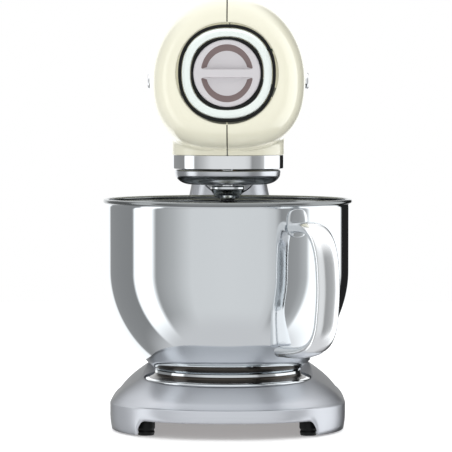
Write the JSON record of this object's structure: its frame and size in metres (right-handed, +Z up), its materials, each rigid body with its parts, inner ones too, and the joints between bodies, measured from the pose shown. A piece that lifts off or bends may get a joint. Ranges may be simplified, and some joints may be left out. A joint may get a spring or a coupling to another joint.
{
  "type": "stand mixer",
  "caption": "Tilt-head stand mixer: planetary beater drive under an oval head, steel bowl with a D handle, hollow column and base, front power outlet.",
  "frame": {"origin": "middle of the footprint, on the surface the feet stand on", "axes": "+Z up, the front of the head towards -Y, the bowl's handle towards +X and -Y"},
  "size_m": [0.2166, 0.427, 0.3908],
  "materials": {
    "silver_paint": "satin metallic silver paint",
    "cream_enamel": "glossy cream enamel",
    "polished_steel": "mirror-polished stainless steel",
    "chrome": "bright chrome plate",
    "black_rubber": "matt black",
    "grey_plastic": "fine satin moulding",
    "satin_aluminium": "satin",
    "machined_steel": "machined",
    "cast_frame": "as cast",
    "bronze": "sintered, oiled",
    "nylon": "natural",
    "copper": "varnished winding",
    "circuit_board": "solder mask"
  },
  "bodies": {
    "stand": {"base_casting": "silver_paint", "column": "silver_paint", "bowl_lock_plate": "machined_steel", "cord_gland": "black_rubber", "foot_front_left": "black_rubber", "foot_front_right": "black_rubber", "foot_rear_left": "black_rubber", "foot_rear_right": "black_rubber", "hinge_pin": "machined_steel", "hinge_bush_left": "bronze", "hinge_bush_right": "bronze"},
    "latch": {"latch_bolt": "machined_steel", "release_knob": "chrome"},
    "bowl": {"bowl": "polished_steel", "bowl_foot_ring": "polished_steel", "bowl_handle": "chrome", "handle_plate": "polished_steel"},
    "head": {"head_shell_left": "cream_enamel", "head_shell_right": "cream_enamel", "neck_band": "chrome", "gearbox_chassis": "cast_frame", "ring_gear": "machined_steel", "motor_stator": "machined_steel", "control_board": "circuit_board", "main_bearing_lower": "machined_steel", "main_bearing_upper": "machined_steel", "motor_bearing_front": "machined_steel", "motor_bearing_rear": "machined_steel", "outlet_gasket": "black_rubber", "outlet_trim_ring": "chrome", "outlet_inner_gasket": "black_rubber", "side_badge_left": "chrome", "side_badge_right": "chrome", "head_keel": "silver_paint", "latch_keeper": "machined_steel", "speed_plate": "chrome", "outlet_bearing": "machined_steel"},
    "cap": {"outlet_cap": "grey_plastic"},
    "lever": {"speed_lever": "chrome"},
    "carrier": {"planetary_hub": "satin_aluminium", "main_shaft": "machined_steel", "worm_wheel": "nylon", "beater_bush": "bronze", "main_mitre_gear": "machined_steel"},
    "beater": {"planet_gear": "machined_steel", "beater_shaft": "machined_steel", "beater_collar": "chrome", "beater_spring": "machined_steel", "drive_pin": "machined_steel"},
    "armature": {"armature_shaft": "machined_steel", "armature_core": "copper", "commutator": "copper", "cooling_fan": "nylon"},
    "outlet_drive": {"outlet_mitre_gear": "machined_steel", "outlet_coupler": "chrome"}
  },
  "joints": [
    {"name": "bowl_twist", "type": "hinge", "parent": "stand", "child": "bowl", "pos_m": [0, -0.08052, 0.0418], "axis": [0, 0, 1], "range_deg": [0, 25]},
    {"name": "head_tilt", "type": "hinge", "parent": "stand", "child": "head", "pos_m": [0, 0.12248, 0.262], "axis": [-1, 0, 0], "range_deg": [0, 35]},
    {"name": "release_pull", "type": "slide", "parent": "stand", "child": "latch", "axis": [0, 1, 0], "range_m": [0, 0.005], "stiffness_N_per_m": 500},
    {"name": "cap_turn", "type": "hinge", "parent": "head", "child": "cap", "pos_m": [0, -0.15852, 0.3085], "axis": [0, -1, 0], "range_deg": [0, 60]},
    {"name": "lever_slide", "type": "slide", "parent": "head", "child": "lever", "axis": [0, 1, 0], "range_m": [0, 0.05]},
    {"name": "hub_spin", "type": "hinge", "parent": "head", "child": "carrier", "pos_m": [0, -0.08052, 0.213], "axis": [0, 0, 1], "continuous": true},
    {"name": "beater_spin", "type": "hinge", "parent": "carrier", "child": "beater", "pos_m": [0, -0.10152, 0.213], "axis": [0, 0, 1], "continuous": true},
    {"name": "armature_spin", "type": "hinge", "parent": "head", "child": "armature", "pos_m": [0.0215, -0.10852, 0.28], "axis": [0, 1, 0], "continuous": true},
    {"name": "outlet_spin", "type": "hinge", "parent": "head", "child": "outlet_drive", "pos_m": [0, -0.12052, 0.3085], "axis": [0, -1, 0], "continuous": true}
  ],
  "couplings": [
    {"joint": "beater_spin", "follows": "hub_spin", "ratio": -3.3333},
    {"joint": "armature_spin", "follows": "hub_spin", "ratio": -30},
    {"joint": "outlet_spin", "follows": "hub_spin", "ratio": 1}
  ]
}
